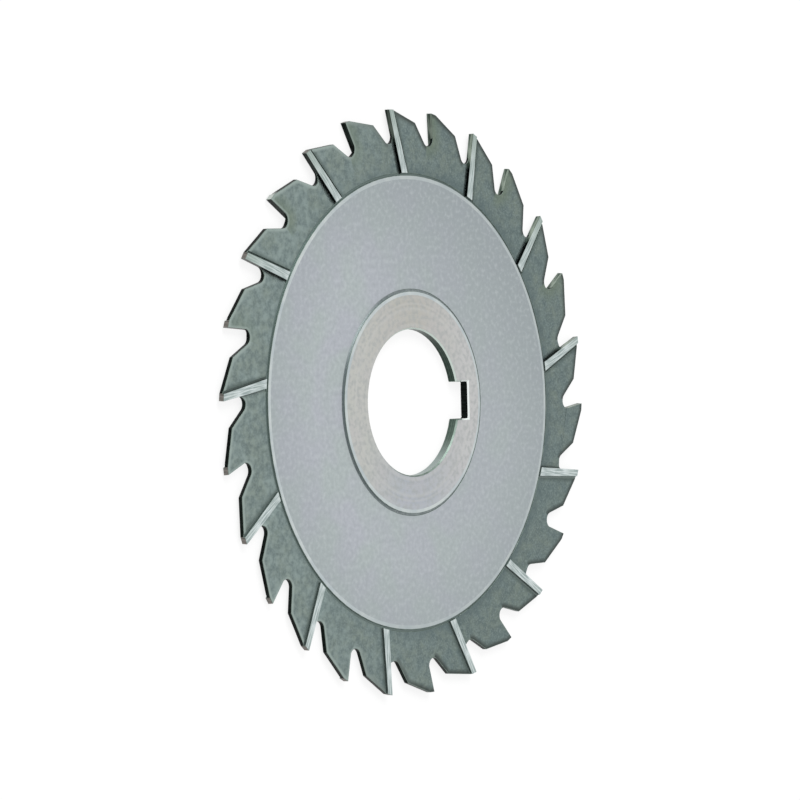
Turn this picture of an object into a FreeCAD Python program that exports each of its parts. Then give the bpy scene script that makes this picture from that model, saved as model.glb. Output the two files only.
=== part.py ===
"""Slitting saw: a thin keyed disc cutter with staggered teeth.

The saw lies flat. The origin is on the bore's axis at the hub's lower face, +Z is the
bore's axis, and +X points from the axis through the middle of the keyway.
"""
import FreeCAD
import Part
import math
import os

os.makedirs("parts", exist_ok=True)

# Body, in mm
OUTER_DIAMETER = 127.0
BORE_DIAMETER = 31.75
BORE_CHAMFER = 0.3
HUB_WIDTH = 2.38
HUB_DIAMETER = 48.1
HUB_BEVEL_WIDTH = 0.8
HUB_BEVEL_DROP = 0.08
WEB_WIDTH = 1.6
WEB_DIAMETER = 98.3
WEB_BEVEL_WIDTH = 0.85
WEB_BEVEL_DROP = 0.05
RING_WIDTH = 1.06

# Shallow groove at the foot of the hub, the web and the side lands, in mm
FOOT_GROOVE_WIDTH = 0.5
FOOT_GROOVE_DEPTH = 0.1

# Keyway, in mm
KEYWAY_WIDTH = 8.1
KEYWAY_ACROSS = 35.5
KEYWAY_CORNER = 0.4
KEYWAY_CHAMFER = 0.3

# Teeth, in mm and degrees
TOOTH_PAIRS = 13
FIRST_TOOTH = 12.05
TOOTH_DEPTH = 7.4
RAKE = 11.0
GASH_ANGLE = 33.0
GULLET_RADIUS = 1.7
STAGGER = 4.0
LAND_WIDTH = 1.6
LAND_RELIEF = 5.0
BACK_RELIEF = 24.0

# Side lands and the chip grooves in front of them, in mm
CUTTING_WIDTH = 1.6
SIDE_LAND_TIP_WIDTH = 1.4
SIDE_LAND_FOOT_WIDTH = 1.95
CHIP_GROOVE_WIDTH = 1.3
CHIP_GROOVE_DEPTH = 0.7

# How far cutting shapes reach past what they trim, in mm
OVERRUN = 1.0

TIP_RADIUS = OUTER_DIAMETER / 2
WEB_RADIUS = WEB_DIAMETER / 2
LAND_START_RADIUS = WEB_RADIUS + FOOT_GROOVE_WIDTH
RING_LEVEL = RING_WIDTH / 2
GROOVE_LEVEL = RING_LEVEL - FOOT_GROOVE_DEPTH
TOOTH_COUNT = 2 * TOOTH_PAIRS
PITCH = 360.0 / TOOTH_COUNT
UP = FreeCAD.Vector(0, 0, 1)


def point(x, y, z=0.0):
    return FreeCAD.Vector(x, y, z)


def heading(degrees):
    """Unit vector in the saw's plane."""
    return point(math.cos(math.radians(degrees)), math.sin(math.radians(degrees)))


def crossing(start, along, other, other_along):
    """Where two lines in the saw's plane meet."""
    span = other - start
    share = span.cross(other_along).z / along.cross(other_along).z
    return start + along * share


def turned_point(spot, degrees):
    """Point or direction turned about the bore's axis."""
    turn = FreeCAD.Rotation(UP, degrees)
    return turn.multVec(spot)


def turned(solid, degrees):
    """Copy turned about the bore's axis."""
    copy = solid.copy()
    copy.rotate(point(0, 0), UP, degrees)
    return copy


def prism(corners, way):
    """Solid from a closed flat outline, extruded along a vector."""
    face = Part.Face(Part.makePolygon(corners + corners[:1]))
    return face.extrude(way)


def slab(corners, low, high):
    """Upright prism on a closed outline in the saw's plane."""
    return prism([point(c.x, c.y, low) for c in corners], point(0, 0, high - low))


def outside(bar, radius):
    """The part of a bar that lies outside a radius."""
    core = Part.makeCylinder(radius, 4 * HUB_WIDTH, point(0, 0, -2 * HUB_WIDTH))
    return bar.cut(core)


def blank():
    """Turned body: hub, web and thin tooth ring, with a groove at the foot of each step."""
    bore = BORE_DIAMETER / 2
    hub = HUB_DIAMETER / 2
    hub_top = HUB_WIDTH / 2
    web_top = WEB_WIDTH / 2
    web_groove_floor = web_top - FOOT_GROOVE_DEPTH
    rim = TIP_RADIUS + OVERRUN
    upper = [
        (bore, hub_top - BORE_CHAMFER),
        (bore + BORE_CHAMFER, hub_top),
        (hub - HUB_BEVEL_WIDTH, hub_top),
        (hub, hub_top - HUB_BEVEL_DROP),
        (hub, web_groove_floor),
        (hub + FOOT_GROOVE_WIDTH, web_groove_floor),
        (hub + FOOT_GROOVE_WIDTH, web_top),
        (WEB_RADIUS - WEB_BEVEL_WIDTH, web_top),
        (WEB_RADIUS, web_top - WEB_BEVEL_DROP),
        (WEB_RADIUS, GROOVE_LEVEL),
        (LAND_START_RADIUS, GROOVE_LEVEL),
        (LAND_START_RADIUS, RING_LEVEL),
        (rim, RING_LEVEL),
    ]
    lower = [(radius, -height) for radius, height in reversed(upper)]
    corners = [point(radius, 0, height) for radius, height in upper + lower]
    face = Part.Face(Part.makePolygon(corners + corners[:1]))
    return face.revolve(point(0, 0), UP, 360)


# Tooth outline. Each helper works on the tooth whose tip is at angle zero, with the
# cutting direction along +Y. Its rise is the way its face runs up through the saw.
TIP = point(TIP_RADIUS, 0)
FACE_INWARD = heading(180 + RAKE)
BACK_INWARD = heading(180 + RAKE + GASH_ANGLE)
AHEAD = heading(90 + RAKE)


def gullet_centre():
    """Centre of the arc that joins the tooth face to the back of the next tooth."""
    reach = TIP_RADIUS - TOOTH_DEPTH + GULLET_RADIUS
    start = TIP + AHEAD * GULLET_RADIUS
    toward = start.dot(FACE_INWARD)
    travel = -toward - math.sqrt(toward ** 2 - start.dot(start) + reach ** 2)
    return start + FACE_INWARD * travel


def gash(rise):
    """Space in front of a tooth: its face, the gullet arc and the next tooth's back."""
    base = rise * -HUB_WIDTH
    reach = 2 * TOOTH_DEPTH
    centre = gullet_centre() + base
    foot = centre - AHEAD * GULLET_RADIUS
    back_foot = centre - UP.cross(BACK_INWARD) * GULLET_RADIUS
    bottom = centre + (FACE_INWARD + BACK_INWARD).normalize() * GULLET_RADIUS
    face_top = foot - FACE_INWARD * reach
    back_top = back_foot - BACK_INWARD * reach
    edges = [
        Part.LineSegment(face_top, foot).toShape(),
        Part.Arc(foot, bottom, back_foot).toShape(),
        Part.LineSegment(back_foot, back_top).toShape(),
        Part.LineSegment(back_top, face_top).toShape(),
    ]
    face = Part.Face(Part.Wire(edges))
    return face.extrude(base * -2)


def outline():
    """Flat lands and sloped backs of all the teeth, as one star-shaped slab."""
    land = heading(-90 - LAND_RELIEF)
    back = heading(-90 - BACK_RELIEF)
    land_end = TIP + land * LAND_WIDTH
    nose = TIP - land * OVERRUN
    centre = turned_point(gullet_centre(), -PITCH)
    back_inward = turned_point(BACK_INWARD, -PITCH)
    side = UP.cross(back_inward)
    heel = crossing(land_end, back, centre - side * GULLET_RADIUS, back_inward)
    tail = heel + back * OVERRUN
    corners = []
    for number in range(TOOTH_COUNT):
        for spot in (tail, land_end, nose):
            corners.append(turned_point(spot, number * PITCH))
    return slab(corners, -HUB_WIDTH, HUB_WIDTH)


def face_foot(radius):
    """Point on the line of the tooth face, a little inside a radius."""
    offset = TIP_RADIUS * math.sin(math.radians(RAKE))
    run = TIP_RADIUS * math.cos(math.radians(RAKE)) - math.sqrt(radius ** 2 - offset ** 2)
    return TIP + FACE_INWARD * (run + OVERRUN)


def side_land():
    """Raised narrow land along the upper edge of a tooth face, wider at its foot."""
    outer = TIP - FACE_INWARD * OVERRUN
    foot = face_foot(LAND_START_RADIUS)
    front = AHEAD * OVERRUN
    corners = [
        outer + front,
        foot + front,
        foot - AHEAD * SIDE_LAND_FOOT_WIDTH,
        outer - AHEAD * SIDE_LAND_TIP_WIDTH,
    ]
    return outside(slab(corners, 0, CUTTING_WIDTH / 2), LAND_START_RADIUS)


def land_foot_groove():
    """Groove along the rear foot of a side land, as deep as the one round the web."""
    end = WEB_RADIUS + FOOT_GROOVE_WIDTH / 2
    outer = TIP - FACE_INWARD * OVERRUN
    foot = face_foot(LAND_START_RADIUS)
    outer_edge = outer - AHEAD * SIDE_LAND_TIP_WIDTH
    foot_edge = foot - AHEAD * SIDE_LAND_FOOT_WIDTH
    back = AHEAD * FOOT_GROOVE_WIDTH
    corners = [outer_edge, foot_edge, foot_edge - back, outer_edge - back]
    return outside(slab(corners, GROOVE_LEVEL, HUB_WIDTH), end)


def chip_groove(rise):
    """Groove in front of a side land: deepest at the tooth face and rising ahead of it to
    the ring's surface."""
    end = WEB_RADIUS + FOOT_GROOVE_WIDTH / 2
    floor = CUTTING_WIDTH / 2 - CHIP_GROOVE_DEPTH
    top = HUB_WIDTH
    slope = CHIP_GROOVE_WIDTH / (RING_LEVEL - floor)
    profile = [(0, floor), (slope * (top - floor), top), (0, top)]
    corners = [TIP + AHEAD * ahead + rise * height for ahead, height in profile]
    return outside(prism(corners, face_foot(end) - TIP), end)


def keyway():
    """Keyway with rounded corners and chamfered edges, cut outward along +X."""
    bottom = KEYWAY_ACROSS - BORE_DIAMETER / 2
    half = KEYWAY_WIDTH / 2
    top = HUB_WIDTH / 2
    height = HUB_WIDTH + 2 * OVERRUN
    slot = Part.makeBox(bottom, KEYWAY_WIDTH, height, point(0, -half, -top - OVERRUN))
    corners = []
    for edge in slot.Edges:
        if edge.BoundBox.XMin > bottom - OVERRUN and edge.BoundBox.ZLength > HUB_WIDTH:
            corners.append(edge)
    slot = slot.makeFillet(KEYWAY_CORNER, corners)

    def rectangle(margin, level):
        around = [
            point(0, -half - margin, level),
            point(bottom + margin, -half - margin, level),
            point(bottom + margin, half + margin, level),
            point(0, half + margin, level),
        ]
        return Part.makePolygon(around + around[:1])

    bevels = []
    for sign in (-1, 1):
        inner = rectangle(0, sign * (top - KEYWAY_CHAMFER))
        outer = rectangle(KEYWAY_CHAMFER, sign * top)
        bevels.append(Part.makeLoft([inner, outer], True))
    return slot.fuse(bevels)


def saw():
    """The whole saw, lying with its lower hub face on the ground plane."""
    lean = math.tan(math.radians(STAGGER))
    leaning_ahead = point(0, lean, 1)
    leaning_back = point(0, -lean, 1)
    upper_cuts = [chip_groove(leaning_ahead), land_foot_groove()]
    lower_cuts = [cut.mirror(point(0, 0), UP) for cut in upper_cuts]
    lower_land = side_land().mirror(point(0, 0), UP)
    lands = []
    cuts = []
    for number in range(TOOTH_PAIRS):
        upper = FIRST_TOOTH + 2 * number * PITCH
        lower = upper + PITCH
        lands.append(turned(side_land(), upper))
        lands.append(turned(lower_land, lower))
        cuts.extend(turned(cut, upper) for cut in upper_cuts + [gash(leaning_ahead)])
        cuts.extend(turned(cut, lower) for cut in lower_cuts + [gash(leaning_back)])
    body = blank().fuse(lands)
    body = body.common(turned(outline(), FIRST_TOOTH))
    body = body.cut(cuts)
    body = body.cut(keyway())
    body = body.removeSplitter()
    body.translate(point(0, 0, HUB_WIDTH / 2))
    return body


saw().exportStep("parts/saw.step")
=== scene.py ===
"""Slitting saw in high-speed steel, lying on a white table under soft studio light.

The saw is one piece. Its mesh is a merged copy of the CAD solid, with each surface given
the finish that its own step of manufacture leaves, with light and shade painted into many of
them, and with its outer edges broken.
"""
import bmesh
import bpy
import math
import numpy as np
from mathutils import Matrix


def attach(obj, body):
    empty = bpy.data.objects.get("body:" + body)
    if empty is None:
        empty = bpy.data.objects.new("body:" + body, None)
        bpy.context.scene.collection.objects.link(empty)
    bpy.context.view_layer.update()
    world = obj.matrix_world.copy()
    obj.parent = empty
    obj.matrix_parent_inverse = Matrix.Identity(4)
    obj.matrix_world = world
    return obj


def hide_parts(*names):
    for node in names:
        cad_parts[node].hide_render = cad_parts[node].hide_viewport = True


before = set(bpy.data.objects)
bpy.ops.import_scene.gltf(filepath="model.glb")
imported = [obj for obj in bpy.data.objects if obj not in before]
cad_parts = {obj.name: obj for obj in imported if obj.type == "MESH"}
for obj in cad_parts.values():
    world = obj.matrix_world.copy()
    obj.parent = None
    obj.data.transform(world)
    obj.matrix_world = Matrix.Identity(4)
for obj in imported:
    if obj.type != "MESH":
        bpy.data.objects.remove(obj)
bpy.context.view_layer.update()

MM = 0.001

# Places on the saw, in mm from the bore's axis and from its middle plane. A level lies just
# under the surface that it is named for. SLIVER and MARGIN are the allowances, in mm, that
# tell one place from the next, where they are close together and where they are apart.
MIDDLE_HEIGHT = 1.19
BORE_RADIUS = 15.875
HUB_RADIUS = 24.05
HUB_GROOVE_RADIUS = 24.55
WEB_RADIUS = 49.15
KEYWAY_END = 19.6
LAND_START_RADIUS = 49.65
TIP_RADIUS = 63.5
HUB_LEVEL = 1.0
WEB_LEVEL = 0.75
RING_LEVEL = 0.48
SLIVER = 0.15
MARGIN = 1.0

# Teeth, in degrees and mm. Of the last two, the first is the number of the tooth whose tip and
# land carry a painted highlight, where they face the light, and the second that highlight's colour.
FIRST_TOOTH = 12.05
PITCH = 360 / 26
TOOTH_MIDDLE = 5.9
RAKE = 11.0
GASH_ANGLE = 33.0
TOOTH_DEPTH = 7.4
GULLET_RADIUS = 1.7
LAND_WIDTH = 1.6
LAND_RELIEF = 5.0
BACK_RELIEF = 24.0
GLINT_TOOTH = 9
GLINT_HUE = "#C3CAC5"

# How flat or upright a face is, as the upward part of its normal, and how many degrees a wall
# may face away from the direction that it is known by
FLAT = 0.9995
UPRIGHT = 0.5
FACING = 6.0


def linear(hex_colour):
    """sRGB hex to linear RGBA."""
    parts = np.array([int(hex_colour[i : i + 2], 16) for i in (1, 3, 5)]) / 255
    low = parts / 12.92
    high = ((parts + 0.055) / 1.055) ** 2.4
    return (*np.where(parts <= 0.04045, low, high), 1.0)


def heading(degrees):
    """Unit vector in the saw's plane, at an angle from +X."""
    return np.array([math.cos(math.radians(degrees)), math.sin(math.radians(degrees))])


def turned(spot, degrees):
    """Point in the saw's plane, turned about the bore's axis."""
    along, across = heading(degrees), heading(degrees + 90)
    return spot[0] * along + spot[1] * across


def gullet_centre():
    """Centre of the arc that joins a tooth's face to the back of the tooth ahead: one gullet
    radius ahead of the face, as far in as puts the arc's bottom at the tooth's depth."""
    start = TIP + heading(90 + RAKE) * GULLET_RADIUS
    inward = heading(180 + RAKE)
    reach = TIP_RADIUS - TOOTH_DEPTH + GULLET_RADIUS
    toward = start @ inward
    return start - inward * (toward + math.sqrt(toward**2 - start @ start + reach**2))


TIP = np.array([TIP_RADIUS, 0.0])
LAND_END = TIP + heading(-90 - LAND_RELIEF) * LAND_WIDTH
GULLET_AHEAD = gullet_centre()
GULLET_BEHIND = turned(GULLET_AHEAD, -PITCH)
BACK_TURN = RAKE + GASH_ANGLE - PITCH


# Node work

# The Mix node's sockets for colours, by number
MIX_A, MIX_B, MIX_COLOUR = 6, 7, 2

# The range that most of a noise texture's values lie in
MOST = (0.3, 0.7)


def add(tree, kind, inputs=(), **settings):
    """Adds a node with its settings; inputs maps a socket to a value or a feeding socket."""
    made = tree.nodes.new("ShaderNode" + kind)
    for name, value in settings.items():
        setattr(made, name, value)
    for socket, value in dict(inputs).items():
        if isinstance(value, bpy.types.NodeSocket):
            tree.links.new(value, made.inputs[socket])
        else:
            made.inputs[socket].default_value = value
    return made


def place_mm(tree):
    """Place on the saw in mm, from its Object coordinates."""
    spot = {0: add(tree, "TexCoord").outputs["Object"], "Scale": 1 / MM}
    return add(tree, "VectorMath", spot, operation="SCALE").outputs[0]


def along_mm(tree):
    """Place along and across a wall or a land in mm, from the piece's own map."""
    chart = {0: add(tree, "UVMap", uv_map=CHART).outputs["UV"], "Scale": CHART_SIZE}
    return add(tree, "VectorMath", chart, operation="SCALE").outputs[0]


def radius_mm(tree, place):
    """Distance from the bore's axis in mm."""
    flat = add(tree, "VectorMath", {0: place, 1: (1, 1, 0)}, operation="MULTIPLY")
    return add(tree, "VectorMath", {0: flat.outputs[0]}, operation="LENGTH").outputs["Value"]


def cloud(tree, place, size, detail=3.0, stretch=(1, 1, 1)):
    """Soft noise from 0 to 1 whose patches measure about size mm, longer where stretch is small."""
    drawn = add(tree, "VectorMath", {0: place, 1: stretch}, operation="MULTIPLY")
    noise = add(tree, "TexNoise", {"Vector": drawn.outputs[0], "Scale": 1 / size, "Detail": detail})
    return noise.outputs["Fac"]


def turning(tree, place, pitch):
    """Concentric tool marks about pitch mm apart: noise read by radius alone, so that no two
    marks are alike."""
    across = add(tree, "CombineXYZ", {"X": radius_mm(tree, place)})
    marks = add(tree, "TexNoise", {"Vector": across.outputs[0], "Scale": 1 / pitch, "Detail": 2.0})
    return marks.outputs["Fac"]


def tooth_place(tree, place):
    """Place in mm turned back to the first position, where the tooth's tip lies on +X, and
    the tooth's number: round(angle / pitch), taken so that one number covers a whole tooth."""
    parts = add(tree, "SeparateXYZ", {0: place}).outputs
    angle = add(tree, "Math", {0: parts["Y"], 1: parts["X"]}, operation="ARCTAN2")
    offset = math.radians(TOOTH_MIDDLE - FIRST_TOOTH)
    shifted = add(tree, "Math", {0: angle.outputs[0], 1: offset}, operation="ADD")
    share = add(tree, "Math", {0: shifted.outputs[0], 1: math.radians(PITCH)}, operation="DIVIDE")
    number = add(tree, "Math", {0: share.outputs[0]}, operation="ROUND").outputs[0]
    turn = {0: number, 1: -math.radians(PITCH), 2: -math.radians(FIRST_TOOTH)}
    back = add(tree, "Math", turn, operation="MULTIPLY_ADD")
    ends = {"Vector": place, "Angle": back.outputs[0]}
    return add(tree, "VectorRotate", ends, rotation_type="Z_AXIS").outputs[0], number


def inside_line(tree, local, through, outward):
    """Distance in mm inside a straight edge, given a point on it and its outward direction."""
    away = add(tree, "VectorMath", {0: local, 1: (*outward, 0)}, operation="DOT_PRODUCT")
    reach = float(np.dot(through, outward))
    return add(tree, "Math", {0: reach, 1: away.outputs["Value"]}, operation="SUBTRACT").outputs[0]


def inside_gash(tree, local, centre, outward, along):
    """Distance in mm from one side of a gash: its straight edge, or its gullet arc inward of
    the arc's centre. It is |(side, min(run, 0))| - gullet radius."""
    side = inside_line(tree, local, centre, outward)
    run = add(tree, "VectorMath", {0: local, 1: (*along, 0)}, operation="DOT_PRODUCT").outputs["Value"]
    past = add(tree, "Math", {0: run, 1: float(np.dot(centre, along))}, operation="SUBTRACT")
    past = add(tree, "Math", {0: past.outputs[0], 1: 0.0}, operation="MINIMUM")
    both = add(tree, "CombineXYZ", {"X": side, "Y": past.outputs[0]})
    far = add(tree, "VectorMath", {0: both.outputs[0]}, operation="LENGTH").outputs["Value"]
    return add(tree, "Math", {0: far, 1: GULLET_RADIUS}, operation="SUBTRACT").outputs[0]


def least(tree, first, *others):
    """The smallest of several values."""
    for other in others:
        first = add(tree, "Math", {0: first, 1: other}, operation="MINIMUM").outputs[0]
    return first


def behind_face(tree, local):
    """Distance in mm from a tooth's face and its gullet."""
    return inside_gash(tree, local, GULLET_AHEAD, heading(90 + RAKE), heading(RAKE))


def inside_back(tree, local):
    """Distance in mm from a tooth's land, back and rear gullet."""
    land = inside_line(tree, local, TIP, heading(-LAND_RELIEF))
    back = inside_line(tree, local, LAND_END, heading(-BACK_RELIEF))
    rear = inside_gash(tree, local, GULLET_BEHIND, heading(BACK_TURN - 90), heading(BACK_TURN))
    return least(tree, land, back, rear)


def fade(tree, value, span, first=0.0, second=1.0, amount=1.0):
    """Turns from first to second as value crosses the span, and holds on both sides of it. They
    are two numbers, or two colours, each a hex value or a socket, and then amount is how much
    of the second colour there is at the span's end."""
    colours = isinstance(second, (str, bpy.types.NodeSocket))
    ends = {"Value": value, "From Min": span[0], "From Max": span[1]}
    ends["To Min"], ends["To Max"] = (0.0, amount) if colours else (first, second)
    share = add(tree, "MapRange", ends).outputs["Result"]
    if not colours:
        return share
    ends = {0: share}
    for socket, colour in ((MIX_A, first), (MIX_B, second)):
        ends[socket] = linear(colour) if isinstance(colour, str) else colour
    return add(tree, "Mix", ends, data_type="RGBA").outputs[MIX_COLOUR]


def steel(name, look):
    """A bare-metal material; look(tree) gives its colour, roughness and marks' height."""
    made = bpy.data.materials.new(name)
    made.use_nodes = True
    tree = made.node_tree
    surface = tree.nodes["Principled BSDF"]
    colour, roughness, height, depth = look(tree)
    bump = add(tree, "Bump", {"Height": height, "Distance": depth * MM, "Strength": 1.0})
    surface.inputs["Metallic"].default_value = 1.0
    tree.links.new(colour, surface.inputs["Base Color"])
    tree.links.new(roughness, surface.inputs["Roughness"])
    tree.links.new(bump.outputs["Normal"], surface.inputs["Normal"])
    return made


# Finishes, each named for the step that makes it


def lapped(tree):
    """Hub faces: ground and then lapped flat. Smooth grey under a painted reflection: warm,
    turning cool towards one side and paler at two others. Lap marks wander, about 0.15 mm
    apart and drawn at 0.9 mm to show."""
    place = place_mm(tree)
    patches = cloud(tree, place, 5.0)
    scuffs = cloud(tree, place, 1.1, 4.0)
    parts = add(tree, "SeparateXYZ", {0: place}).outputs
    across = add(tree, "Math", {0: parts["X"]}, operation="ABSOLUTE").outputs[0]
    # painted reflection: warm towards one side, cool towards the other, paler at both ends across
    hue = fade(tree, parts["Y"], (-20, 12), "#A8B0BA", "#B4B3AB")
    side = fade(tree, parts["X"], (-16, 8), "#BDBFB8", "#C2C3C3")
    hue = fade(tree, across, (4, 18), hue, side, 0.9)
    hue = fade(tree, patches, (0.35, 0.7), hue, "#BCB8BC", 0.4)
    hue = fade(tree, scuffs, (0.56, 0.38), hue, "#9EA3A3", 0.6)
    marks = turning(tree, place, 0.9)
    colour = fade(tree, marks, (0.35, 0.7), hue, "#C5C6C3", 0.5)
    return colour, fade(tree, scuffs, MOST, 0.28, 0.38), scuffs, 0.004


def surface_ground(tree):
    """Web: ground flat on a rotary grinder. An even, matte grey, faintly blue in some patches
    and green in others, with painted shade that darkens it towards one side and the rim, and
    a soft grain of about 1 mm and faint rings from the wheel."""
    place = place_mm(tree)
    grain = cloud(tree, place, 1.0, 4.0)
    patches = cloud(tree, place, 9.0, 1.0)
    rings = turning(tree, place, 2.2)
    across = add(tree, "SeparateXYZ", {0: place}).outputs["X"]
    toward = {0: place, 1: (*heading(55), 0)}
    toward = add(tree, "VectorMath", toward, operation="DOT_PRODUCT").outputs["Value"]
    hue = fade(tree, patches, (0.38, 0.62), "#B0B9B9", "#B3B7BE")
    # painted shade: darker towards one side of the saw and towards the rim
    hue = fade(tree, across, (-20, 48), hue, "#A6AEB0", 0.7)
    hue = fade(tree, toward, (12, 45), hue, "#979FA2", 0.6)
    hue = fade(tree, radius_mm(tree, place), (34, 48), hue, "#9BA3A6", 0.4)
    hue = fade(tree, grain, (0.5, 0.7), hue, "#D3D9DA", 0.25)
    hue = fade(tree, grain, (0.5, 0.3), hue, "#959C9F", 0.3)
    colour = fade(tree, rings, (0.35, 0.75), hue, "#A2A9AC", 0.2)
    return colour, fade(tree, grain, MOST, 0.44, 0.54), grain, 0.006


def milled(tree):
    """Tooth ring: milled thin before hardening, so it keeps a darker, greenish skin. Mottled
    in patches of 0.5 to 4 mm, painted palest on one side of the saw as painted light, and
    darkest beside the web as painted shade. A soft line about 0.8 mm wide along the edges is
    painted shade over one half of the saw and painted highlight over the other, beside the
    cutting faces too. The teeth with no land on the upper face carry an olive painted
    reflection near their cutting face, and the others a band of painted shade about 3 mm wide
    behind the line of their cutting face. Both marks are placed for the upper face alone: the
    lower face shows them on the same teeth, where they don't belong."""
    place = place_mm(tree)
    patches = cloud(tree, place, 4.0)
    mottle = cloud(tree, place, 1.3, 3.0)
    grain = cloud(tree, place, 0.45, 2.0)
    parts = add(tree, "SeparateXYZ", {0: place}).outputs
    # painted light: paler towards one side of the saw, darker towards the other
    hue = fade(tree, parts["X"], (-40, 15), "#8A9996", "#6C7B79")
    hue = fade(tree, patches, (0.4, 0.62), hue, "#7F897B", 0.4)
    hue = fade(tree, mottle, (0.64, 0.36), hue, "#576667", 0.6)
    hue = fade(tree, grain, (0.45, 0.7), hue, "#98A6A4", 0.4)
    # painted shade beside the web's step, deeper over one side of the saw
    web_foot_shade = fade(tree, radius_mm(tree, place), (LAND_START_RADIUS, LAND_START_RADIUS + 2.5), 1, 0)
    shaded = fade(tree, parts["X"], (-30, 20), 0.1, 0.6)
    web_foot_shade = add(tree, "Math", {0: web_foot_shade, 1: shaded}, operation="MULTIPLY").outputs[0]
    hue = fade(tree, web_foot_shade, (0, 1), hue, "#566567")
    local, number = tooth_place(tree, place)
    behind = behind_face(tree, local)
    plain = add(tree, "Math", {0: number, 1: 2.0}, operation="FLOORED_MODULO").outputs[0]
    # painted reflection: olive near the cutting face of the teeth with no upper land
    olive = fade(tree, behind, (0, 3.5), 0.55, 0)
    for share in (plain, fade(tree, parts["Y"], (0, 30))):
        olive = add(tree, "Math", {0: olive, 1: share}, operation="MULTIPLY").outputs[0]
    hue = fade(tree, olive, (0, 1), hue, "#6E7C66")
    # painted highlight along the cutting face over one half of the saw
    lit_half = fade(tree, parts["X"], (-25, 0), 1, 0)
    face_highlight = {0: lit_half, 1: fade(tree, behind, (0.3, 0.7), 0.6, 0)}
    face_highlight = add(tree, "Math", face_highlight, operation="MULTIPLY").outputs[0]
    hue = fade(tree, face_highlight, (0, 1), hue, "#9DABA6")
    # painted shade in a band behind the cutting face of the teeth with a side land
    behind_line = inside_line(tree, local, TIP, heading(90 + RAKE))
    land_shade = fade(tree, plain, (0, 1), 0.6, 0)
    for share in (fade(tree, behind_line, (0, 0.1)), fade(tree, behind_line, (2.3, 3.1), 1, 0)):
        land_shade = add(tree, "Math", {0: land_shade, 1: share}, operation="MULTIPLY").outputs[0]
    hue = fade(tree, land_shade, (0, 1), hue, "#46534F")
    # painted shade along the tooth edges over one half of the saw, painted highlight over the other
    line = fade(tree, lit_half, (0, 1), "#373D3A", "#9DABA6")
    reach = fade(tree, lit_half, (0, 1), 1.25, 0.9)
    colour = fade(tree, inside_back(tree, local), (reach, 0.35), hue, line, 0.8)
    return colour, fade(tree, grain, MOST, 0.42, 0.55), grain, 0.010


def side_ground(tree):
    """Side lands: the last surfaces ground, along their length. Bright, with long streaks
    about 0.3 mm apart, and over one side of the saw greener towards the tips."""
    chart = along_mm(tree)
    streaks = cloud(tree, chart, 0.3, 2.0, (0.08, 1, 1))
    patches = cloud(tree, chart, 2.0)
    hue = fade(tree, streaks, (0.38, 0.62), "#98A6A5", "#D6DFDF")
    hue = fade(tree, patches, (0.4, 0.7), hue, "#B3BFBA", 0.4)
    place = place_mm(tree)
    across = add(tree, "SeparateXYZ", {0: place}).outputs["Y"]
    tip = fade(tree, radius_mm(tree, place), (52, 62), 0, 0.6)
    tip = {0: tip, 1: fade(tree, across, (5, 30))}
    tip = add(tree, "Math", tip, operation="MULTIPLY").outputs[0]
    colour = fade(tree, tip, (0, 1), hue, "#96A69D")
    return colour, fade(tree, streaks, MOST, 0.26, 0.36), streaks, 0.004


def face_ground(tree):
    """Tooth faces: ground by a thin wheel run in along the gullet, which leaves streaks across
    the tooth. Painted light makes them pale on one side of the saw, and painted shade dark on
    the other and down in the groove."""
    chart = along_mm(tree)
    streaks = cloud(tree, chart, 0.6, 2.0, (0.15, 1, 1))
    place = place_mm(tree)
    across = add(tree, "SeparateXYZ", {0: place}).outputs["X"]
    pale = fade(tree, streaks, (0.38, 0.62), "#46534B", "#97A497")
    dark = fade(tree, streaks, (0.4, 0.7), "#0D1210", "#26302B")
    # painted light and shade: faces pale on one side of the saw, dark on the other
    hue = fade(tree, across, (-14, 26), dark, pale)
    root = TIP_RADIUS - TOOTH_DEPTH
    # painted shade down in the groove, inward of the gullet's root
    colour = fade(tree, radius_mm(tree, place), (root - 0.5, root + 0.5), "#0E1312", hue)
    return colour, fade(tree, streaks, MOST, 0.30, 0.42), streaks, 0.004


def tooth_glint(tree, place):
    """Share of painted highlight: 1 at the tip of the one tooth whose land faces the light, fading to
    0 some 3 mm from it.
    """
    tip = (*turned(TIP, FIRST_TOOTH + GLINT_TOOTH * PITCH), MIDDLE_HEIGHT)
    away = add(tree, "VectorMath", {0: place, 1: tip}, operation="DISTANCE").outputs["Value"]
    return fade(tree, away, (1.2, 3.2), 1, 0)


def hardened(tree):
    """Gullets, tooth backs and lands: nearly black with a green cast, as painted shade, over
    upright cutter marks about 0.5 mm apart. One tooth carries a painted highlight at its tip,
    where its land faces the light."""
    chart = along_mm(tree)
    place = place_mm(tree)
    marks = cloud(tree, chart, 0.5, 2.0, (1, 0.12, 1))
    patches = cloud(tree, place, 4.0)
    # painted shade: the walls nearly black
    hue = fade(tree, patches, (0.35, 0.65), "#080B0A", "#151C19")
    hue = fade(tree, marks, (0.45, 0.75), hue, "#27302C", 0.5)
    # painted highlight at the tip of the one tooth whose land faces the light
    colour = fade(tree, tooth_glint(tree, place), (0, 1), hue, GLINT_HUE)
    return colour, fade(tree, marks, MOST, 0.38, 0.5), marks, 0.006


def relieved(tree):
    """Lands behind the cutting edges: ground when the teeth were sharpened, so they are bare
    and grey brown, over marks across them about 0.4 mm apart."""
    marks = cloud(tree, along_mm(tree), 0.4, 2.0, (1, 0.12, 1))
    hue = fade(tree, marks, (0.35, 0.65), "#5F5D59", "#837F7A")
    # One tooth's land carries a painted highlight at its tip, where it faces the light.
    colour = fade(tree, tooth_glint(tree, place_mm(tree)), (0, 1), hue, GLINT_HUE)
    return colour, fade(tree, marks, MOST, 0.38, 0.48), marks, 0.004


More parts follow.
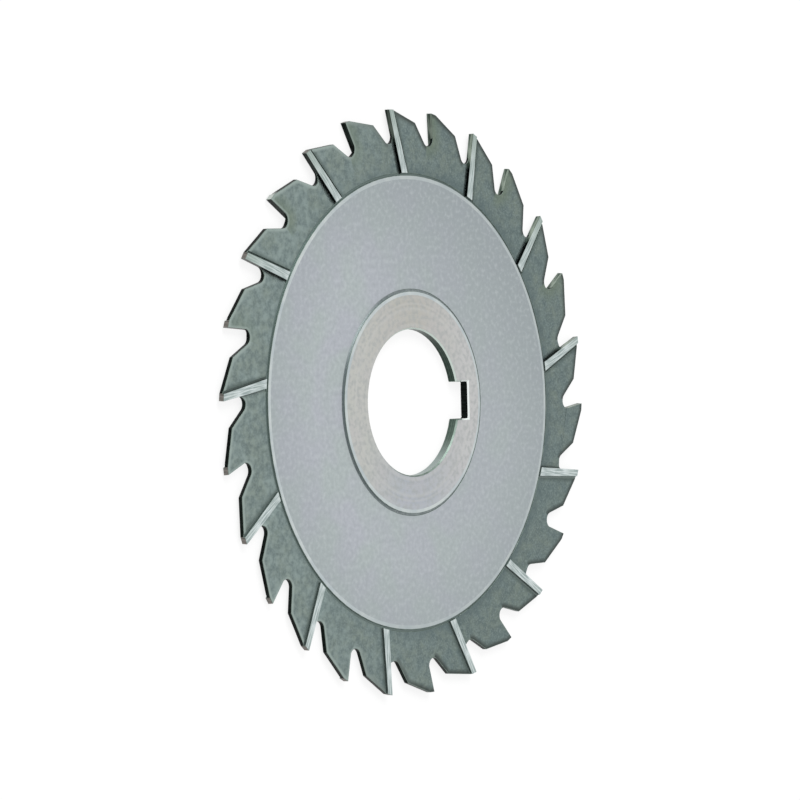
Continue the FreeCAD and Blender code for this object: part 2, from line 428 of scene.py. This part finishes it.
def bored(tree):
    """Bore wall: ground, with marks round the wall about 0.3 mm apart. Painted shade makes it
    nearly black with a green cast over one half, and painted light a pale grey over the other."""
    marks = cloud(tree, along_mm(tree), 0.3, 2.0, (0.06, 1, 1))
    across = add(tree, "SeparateXYZ", {0: place_mm(tree)}).outputs["Y"]
    dark = fade(tree, marks, (0.35, 0.7), "#242F2A", "#48584F")
    thin = fade(tree, marks, (0.35, 0.7), "#42524A", "#6A7B71")
    # painted light and shade: dark over one half of the bore, paler over the other
    hue = fade(tree, across, (-7, 3), thin, dark)
    # painted highlight: pale grey over the part of the wall that faces the light
    colour = fade(tree, across, (-13, -8), "#98A5A1", hue)
    return colour, fade(tree, marks, MOST, 0.30, 0.4), marks, 0.003


def broached(tree):
    """Keyway walls: cut by a broach and never ground. Black, as painted shade, over upright tears."""
    chart = along_mm(tree)
    tears = cloud(tree, chart, 0.4, 2.0, (1, 0.1, 1))
    # painted shade: near black
    hue = fade(tree, tears, (0.4, 0.7), "#080B0A", "#1C2421")
    return hue, fade(tree, tears, MOST, 0.35, 0.48), tears, 0.005


def turned_step(tree):
    """Walls and floors of the steps at the hub and the web: turned, and out of the grinding
    wheel's reach, so grey and dull, with tool marks about 0.25 mm apart. The hub's groove is
    painted darker than its wall, as painted shade, and paler in one short stretch, as a painted
    highlight."""
    place = place_mm(tree)
    grain = cloud(tree, place, 0.6, 2.0)
    marks = turning(tree, place, 0.25)
    radius = radius_mm(tree, place)
    toward = {0: place, 1: (*heading(138), 0)}
    toward = add(tree, "VectorMath", toward, operation="DOT_PRODUCT").outputs["Value"]
    # painted shade: the hub's groove darker than its wall
    hue = fade(tree, radius, (HUB_RADIUS, HUB_RADIUS + 0.1), "#A3ABAD", "#767E80")
    # painted highlight: one short stretch of the hub's wall and groove, facing the light
    hue = fade(tree, toward, (22.2, 24), hue, "#B0B7B8")
    hue = fade(tree, radius, (HUB_GROOVE_RADIUS, WEB_RADIUS), hue, "#98A4A0")
    colour = fade(tree, grain, (0.35, 0.7), hue, "#A5AEAC", 0.4)
    return colour, fade(tree, marks, MOST, 0.42, 0.52), marks, 0.004


def milled_slot(tree):
    """Grooves beside the side lands: milled narrow, and dark as painted shade, painted paler
    over one half of the saw as painted light. They run out into the paler groove round the
    web, which is painted darker towards one side as painted shade."""
    place = place_mm(tree)
    grain = cloud(tree, place, 0.5, 2.0)
    # painted shade: the grooves dark
    dark = fade(tree, grain, (0.35, 0.7), "#26302E", "#43504C")
    parts = add(tree, "SeparateXYZ", {0: place}).outputs
    # painted light: paler over one half of the saw
    dark = fade(tree, parts["Y"], (14, -8), dark, "#85918E", 0.6)
    # painted shade: the groove round the web darker towards one side
    round_web = fade(tree, parts["X"], (-40, 20), "#72807D", "#5C6966")
    ends = (LAND_START_RADIUS - SLIVER, LAND_START_RADIUS + SLIVER)
    colour = fade(tree, radius_mm(tree, place), ends, round_web, dark)
    return colour, fade(tree, grain, MOST, 0.42, 0.52), grain, 0.006


def turned_bevel(tree):
    """Low bevels round the hub and the web: turned last and burnished by the collars, so they
    read as bright rims with soft dull stretches about 4 mm long. The web's rim is painted
    duller over one half of the saw, as painted shade."""
    place = place_mm(tree)
    stretches = cloud(tree, place, 4.0)
    across = add(tree, "SeparateXYZ", {0: place}).outputs["X"]
    # painted shade on the web's rim over one half of the saw
    dull = {0: fade(tree, across, (-32, -5), 0, 0.4)}
    dull[1] = fade(tree, radius_mm(tree, place), (HUB_GROOVE_RADIUS, WEB_RADIUS - 2))
    dull = add(tree, "Math", dull, operation="MULTIPLY").outputs[0]
    hue = fade(tree, stretches, (0.35, 0.65), "#B4BEC1", "#C8CFCE")
    colour = fade(tree, dull, (0, 1), hue, "#9CA5A6")
    return colour, fade(tree, stretches, MOST, 0.28, 0.36), stretches, 0.002


def broken_edge(tree):
    """Chamfers and broken edges: stoned by hand, so they catch a thin, dull light. Those of
    the bore carry a painted highlight over one half, and those at the end of the keyway a
    bright painted highlight."""
    place = place_mm(tree)
    grain = cloud(tree, place, 2.0, 2.0)
    radius = radius_mm(tree, place)
    hue = fade(tree, grain, (0.35, 0.7), "#67766E", "#8C9B93")
    across = add(tree, "SeparateXYZ", {0: place}).outputs["Y"]
    # painted highlight on the bore's chamfer over one half
    rim = fade(tree, across, (-2, 4), hue, "#C6D2CB")
    # bright painted highlight on the chamfer at the keyway's end
    inner = fade(tree, radius, (KEYWAY_END - 2, KEYWAY_END - 1.5), rim, "#E3E8E6")
    colour = fade(tree, radius, (KEYWAY_END + 2, KEYWAY_END + 3), inner, hue)
    return colour, fade(tree, grain, MOST, 0.42, 0.52), grain, 0.002


FINISHES = [
    ("Steel_lapped_hub", lapped),
    ("Steel_ground_web", surface_ground),
    ("Steel_milled_ring", milled),
    ("Steel_ground_side_land", side_ground),
    ("Steel_ground_tooth_face", face_ground),
    ("Steel_hardened_gullet", hardened),
    ("Steel_ground_tooth_land", relieved),
    ("Steel_ground_bore", bored),
    ("Steel_broached_keyway", broached),
    ("Steel_turned_step", turned_step),
    ("Steel_milled_slot", milled_slot),
    ("Steel_turned_bevel", turned_bevel),
    ("Steel_broken_edge", broken_edge),
]
INDICES = range(len(FINISHES))
HUB, WEB, RING, LAND, FACE, GULLET, RELIEF, BORE, KEYWAY, STEP, SLOT, BEVEL, EDGE = INDICES


# The piece

# Its map is kept in units of CHART_SIZE mm. Corners within JOIN_DISTANCE, in metres, are one.
# A broken edge is BROKEN_WIDTH mm wide, and CUTTING_SHARE of that where it cuts.
CHART = "finish_chart"
CHART_SIZE = 100.0
JOIN_DISTANCE = 1e-6
SAME_PLANE = math.radians(0.1)
CREASE = math.radians(30)
SLIGHT_CREASE = math.radians(2)
BROKEN_FROM = math.radians(50)
BROKEN_WIDTH = 0.08
CUTTING_SHARE = 0.4


def merged(source, name):
    """A copy of a CAD solid's loose triangles, joined at their corners, with each flat area
    made one face."""
    shape = bmesh.new()
    shape.from_mesh(source.data)
    bmesh.ops.remove_doubles(shape, verts=shape.verts, dist=JOIN_DISTANCE)
    bmesh.ops.dissolve_limit(shape, angle_limit=SAME_PLANE, verts=shape.verts, edges=shape.edges)
    made = bpy.data.meshes.new(name)
    shape.to_mesh(made)
    shape.free()
    for leftover in ("custom_normal", "UVMap"):
        if leftover in made.attributes:
            made.attributes.remove(made.attributes[leftover])
    return made


def read(items, name, width, kind=float):
    """One property of a mesh's elements as an array."""
    values = np.empty(len(items) * width, kind)
    items.foreach_get(name, values)
    return values.reshape(-1, width) if width > 1 else values


def survey(mesh):
    """Arrays that describe the mesh: corners' places in mm from the saw's middle plane, and
    for each face its first corner, normal, middle and least and greatest radius."""
    places = read(mesh.vertices, "co", 3) / MM - (0, 0, MIDDLE_HEIGHT)
    corners = read(mesh.loops, "vertex_index", 1, np.int32)
    starts = read(mesh.polygons, "loop_start", 1, np.int32)
    sides = read(mesh.polygons, "loop_total", 1, np.int32)
    at_corners = places[corners]
    radii = np.hypot(at_corners[:, 0], at_corners[:, 1])
    return {
        "corners": at_corners,
        "starts": starts,
        "sides": sides,
        "normals": read(mesh.polygons, "normal", 3),
        "middles": np.add.reduceat(at_corners, starts) / sides[:, None],
        "inner": np.minimum.reduceat(radii, starts),
        "outer": np.maximum.reduceat(radii, starts),
    }


def tooth_turn(facts):
    """For each face, the direction in degrees of the tooth tip that it belongs to."""
    around = np.degrees(np.arctan2(facts["middles"][:, 1], facts["middles"][:, 0]))
    return FIRST_TOOTH + np.round((around - FIRST_TOOTH) / PITCH) * PITCH


def finish_of(facts):
    """Index of each face's finish, from how it faces, how high it is and how far out."""
    up = np.abs(facts["normals"][:, 2])
    height = np.abs(facts["middles"][:, 2])
    inner, outer = facts["inner"], facts["outer"]
    flat = up > FLAT
    wall = up < UPRIGHT
    facing = np.degrees(np.arctan2(facts["normals"][:, 1], facts["normals"][:, 0]))
    ahead = (facing - tooth_turn(facts) - 90 - RAKE + 180) % 360 - 180
    outward = (facing - tooth_turn(facts) + LAND_RELIEF + 180) % 360 - 180
    finish = np.full(len(up), EDGE)
    finish[flat & (height > HUB_LEVEL)] = HUB
    finish[flat & (height < HUB_LEVEL) & (height > WEB_LEVEL) & (outer < WEB_RADIUS)] = WEB
    finish[flat & (height < HUB_LEVEL) & (height > WEB_LEVEL) & (inner > WEB_RADIUS)] = LAND
    finish[~wall & (height < WEB_LEVEL) & (inner > WEB_RADIUS - SLIVER)] = RING
    finish[flat & (height < RING_LEVEL)] = SLOT
    finish[flat & (height < WEB_LEVEL) & (outer < HUB_GROOVE_RADIUS + SLIVER)] = STEP
    finish[~wall & ~flat & (inner > HUB_RADIUS - MARGIN) & (outer < WEB_RADIUS + SLIVER)] = BEVEL
    finish[wall & (outer < BORE_RADIUS + MARGIN)] = BORE
    finish[wall & (outer > BORE_RADIUS + MARGIN)] = KEYWAY
    finish[wall & (inner > HUB_RADIUS - MARGIN)] = STEP
    finish[wall & (outer > LAND_START_RADIUS + SLIVER)] = SLOT
    finish[wall & (inner > LAND_START_RADIUS + SLIVER)] = GULLET
    finish[wall & (outer > TIP_RADIUS - MARGIN) & (np.abs(ahead) < FACING)] = FACE
    finish[wall & (inner > TIP_RADIUS - MARGIN) & (np.abs(outward) < FACING)] = RELIEF
    return finish


def chart_of(facts):
    """A map in mm for every corner: along and up a wall, or along and across a side land."""
    normals = facts["normals"]
    turn = np.radians(tooth_turn(facts) + 180 + RAKE)
    land_way = np.stack([np.cos(turn), np.sin(turn), 0 * turn], 1)
    wall_way = np.cross((0, 0, 1), normals)
    wall_way /= np.maximum(np.linalg.norm(wall_way, axis=1), 1e-9)[:, None]
    is_wall = np.abs(normals[:, 2:]) < UPRIGHT
    along = np.where(is_wall, wall_way, land_way)
    across = np.where(is_wall, (0, 0, 1), np.cross((0, 0, 1), land_way))
    along, across = (np.repeat(way, facts["sides"], axis=0) for way in (along, across))
    places = facts["corners"]
    return np.stack([(places * along).sum(1), (places * across).sum(1)], 1) / CHART_SIZE


def edge_facts(mesh, facts):
    """For each edge: the angle between its two faces, whether it stands out, and the faces."""
    face_of = np.repeat(np.arange(len(facts["starts"])), facts["sides"])
    edge_of = read(mesh.loops, "edge_index", 1, np.int32)
    order = np.argsort(edge_of, kind="stable").reshape(-1, 2)
    first, second = face_of[order[:, 0]], face_of[order[:, 1]]
    following = np.arange(len(edge_of)) + 1
    last = facts["starts"] + facts["sides"] - 1
    following[last] = facts["starts"]
    way = facts["corners"][following] - facts["corners"]
    normals = facts["normals"]
    inward = np.cross(normals[first], way[order[:, 0]])
    outward = (normals[second] * inward).sum(1) < 0
    angle = np.arccos(np.clip((normals[first] * normals[second]).sum(1), -1, 1))
    return angle, outward, first, second


def mark(mesh, name, kind, place, values):
    """Stores one value for each element of the mesh under the name that Blender reads."""
    layer = mesh.attributes.get(name) or mesh.attributes.new(name, kind, place)
    layer.data.foreach_set("value", values)


def dressed_saw(source):
    """The saw's shown piece, with its finishes, creases and broken edges."""
    mesh = merged(source, "slitting_saw")
    facts = survey(mesh)
    finish = finish_of(facts)
    for name, look in FINISHES:
        mesh.materials.append(steel(name, look))
    mesh.polygons.foreach_set("material_index", finish.astype(np.int32))
    chart = mesh.uv_layers.new(name=CHART)
    chart.uv.foreach_set("vector", chart_of(facts).astype(np.float32).ravel())
    angle, outward, first, second = edge_facts(mesh, facts)
    up = np.abs(facts["normals"][:, 2])
    walls = (up[first] < UPRIGHT) & (up[second] < UPRIGHT)
    parted = (finish[first] != finish[second]) | (up[first] > FLAT) | (up[second] > FLAT)
    crease = (angle > CREASE) | (parted & ~walls & (angle > SLIGHT_CREASE))
    mesh.polygons.foreach_set("use_smooth", np.ones(len(finish), bool))
    mark(mesh, "sharp_edge", "BOOLEAN", "EDGE", crease)
    broken = np.where(outward & (angle > BROKEN_FROM), 1.0, 0.0)
    for kept_sharp in (LAND, FACE):
        broken[(finish[first] == kept_sharp) | (finish[second] == kept_sharp)] *= CUTTING_SHARE
    mark(mesh, "bevel_weight_edge", "FLOAT", "EDGE", broken.astype(np.float32))
    made = bpy.data.objects.new("slitting_saw", mesh)
    bpy.context.scene.collection.objects.link(made)
    bevel = made.modifiers.new("broken_edges", "BEVEL")
    bevel.limit_method = "WEIGHT"
    bevel.width = BROKEN_WIDTH * MM
    bevel.segments = 1
    bevel.use_clamp_overlap = False
    bevel.harden_normals = True
    bevel.material = EDGE
    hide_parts("saw")
    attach(made, "root")
    return made


dressed_saw(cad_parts["saw"])


# Table, light and camera

WORLD_LIGHT = 0.85
TABLE_SIZE = 8.0
TABLE_GLOW = 0.8


def seen_share(tree):
    """1 where the surface is seen directly or in the steel, and 0 where it only gives light."""
    rays = add(tree, "LightPath").outputs
    straight = {0: rays["Is Camera Ray"], 1: rays["Is Glossy Ray"]}
    straight = add(tree, "Math", straight, operation="ADD")
    total = {0: straight.outputs[0], 1: rays["Is Transmission Ray"]}
    return add(tree, "Math", total, operation="ADD", use_clamp=True).outputs[0]


def white_table():
    """A matte white table. Seen directly or in the steel it is white, and it keeps the saw's
    shadow, paled by its own glow there."""
    half = TABLE_SIZE / 2
    rim = [(-half, -half, 0), (half, -half, 0), (half, half, 0), (-half, half, 0)]
    mesh = bpy.data.meshes.new("table")
    mesh.from_pydata(rim, [], [(0, 1, 2, 3)])
    table = bpy.data.objects.new("table", mesh)
    bpy.context.scene.collection.objects.link(table)
    paint = bpy.data.materials.new("Matte_white_paint")
    paint.use_nodes = True
    tree = paint.node_tree
    tree.nodes.clear()
    seen = seen_share(tree)
    matte = add(tree, "BsdfDiffuse", {"Color": fade(tree, seen, (0, 1), "#E6E6E6", "#FFFFFF")})
    white = add(tree, "Emission", {"Color": (1, 1, 1, 1), "Strength": 1})
    glow = add(tree, "Math", {0: seen, 1: TABLE_GLOW}, operation="MULTIPLY")
    both = add(tree, "MixShader", {0: glow.outputs[0], 1: matte.outputs[0], 2: white.outputs[0]})
    add(tree, "OutputMaterial", {"Surface": both.outputs[0]})
    mesh.materials.append(paint)


def white_room():
    """Even light from all round; the room itself shows as plain white."""
    room = bpy.data.worlds.new("white_room")
    room.use_nodes = True
    tree = room.node_tree
    tree.nodes.clear()
    strength = fade(tree, seen_share(tree), (0, 1), WORLD_LIGHT, 1)
    light = add(tree, "Background", {"Color": (1, 1, 1, 1), "Strength": strength})
    add(tree, "OutputWorld", {"Surface": light.outputs[0]})
    bpy.context.scene.world = room


def softbox(name, place, size, power):
    """A square lamp aimed at the saw."""
    lamp = bpy.data.lights.new(name, "AREA")
    lamp.size = size
    lamp.energy = power
    made = bpy.data.objects.new(name, lamp)
    bpy.context.scene.collection.objects.link(made)
    back = np.array(place) / np.linalg.norm(place)
    side = np.cross((0, 1, 0), back)
    side /= np.linalg.norm(side)
    turn = Matrix(np.stack([side, np.cross(back, side), back], 1).tolist()).to_4x4()
    turn.translation = place
    made.matrix_world = turn


def photo_camera():
    """The photograph's viewpoint: its place in mm, and its own right, up and backward
    directions, solved from the circles of the bore, hub and web."""
    lens = bpy.data.cameras.new("camera")
    lens.lens = 198.44
    lens.sensor_width = 36
    camera = bpy.data.objects.new("camera", lens)
    bpy.context.scene.collection.objects.link(camera)
    right = (0.61256, -0.02470, 0.79004)
    up = (0.02757, 0.99957, 0.00987)
    back = (-0.78994, 0.01574, 0.61298)
    pose = Matrix((right, up, back)).transposed().to_4x4()
    pose.translation = np.array((-755.99, 15.59, 585.18)) * MM
    camera.matrix_world = pose
    bpy.context.scene.camera = camera


white_table()
white_room()
softbox("key", place=(-0.3, 1.2, 1.0), size=0.9, power=13)
photo_camera()
bpy.context.scene.view_settings.view_transform = "Standard"
